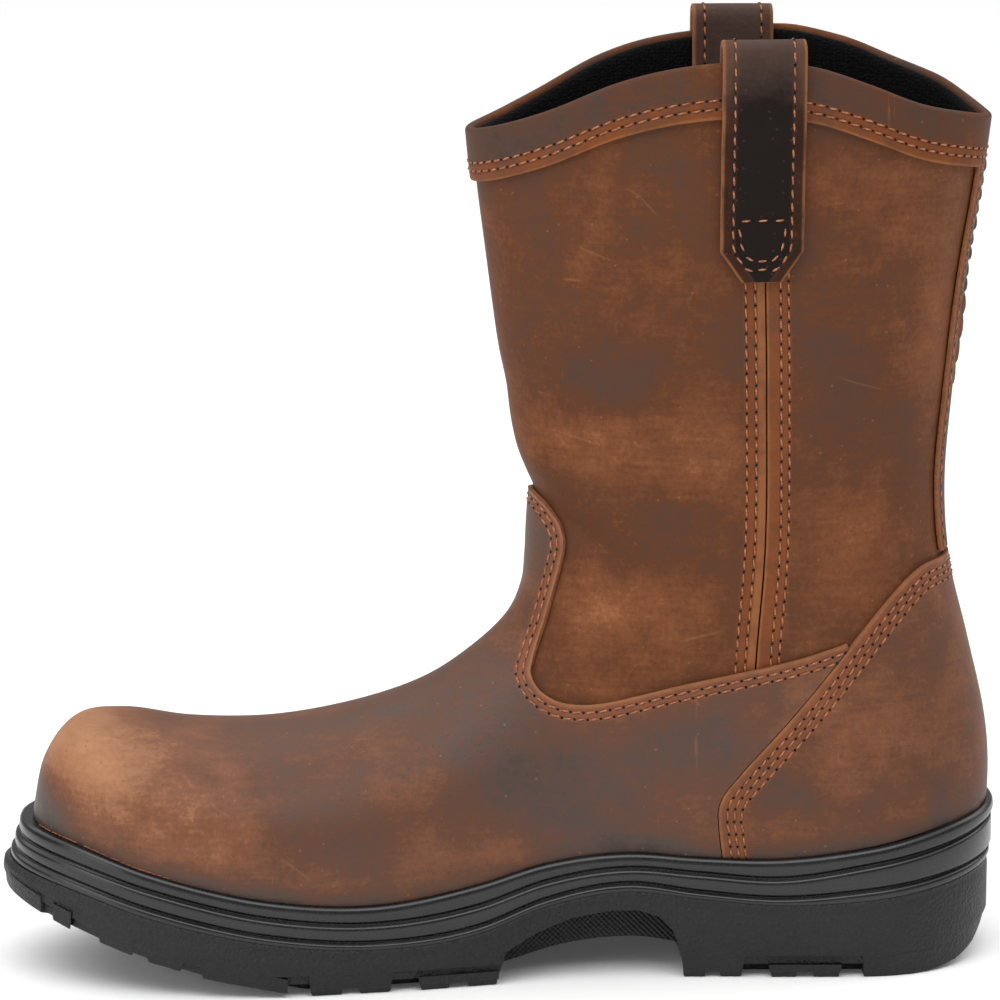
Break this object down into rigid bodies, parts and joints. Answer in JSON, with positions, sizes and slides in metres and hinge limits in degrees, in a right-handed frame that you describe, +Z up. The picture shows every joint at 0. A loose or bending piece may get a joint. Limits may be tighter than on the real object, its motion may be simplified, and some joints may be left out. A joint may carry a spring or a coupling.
{
  "type": "wellington work boot",
  "caption": "Pull-on leather work boot for the right foot, with a rounded toe, lugged rubber sole, dipped collar and folded pull straps at its sides.",
  "frame": {"origin": "on the floor, under the middle of the boot's bounding box", "axes": "+X to the toe, +Y to the inner side of the foot, +Z up"},
  "size_m": [0.313, 0.106, 0.294],
  "materials": {
    "outsole_rubber": "matte, pebbled",
    "midsole_rubber": "satin",
    "lining_fabric": "matte mesh",
    "oiled_leather": "oiled, mottled",
    "strap_leather": "oiled, dark"
  },
  "bodies": {
    "root": {"outsole": "outsole_rubber", "midsole": "midsole_rubber", "insole": "lining_fabric", "upper": "oiled_leather", "vamp": "oiled_leather", "heel_counter": "oiled_leather", "backstay": "oiled_leather", "collar_band": "oiled_leather", "pull_strap_inner": "strap_leather", "pull_strap_outer": "strap_leather"}
  },
  "joints": []
}
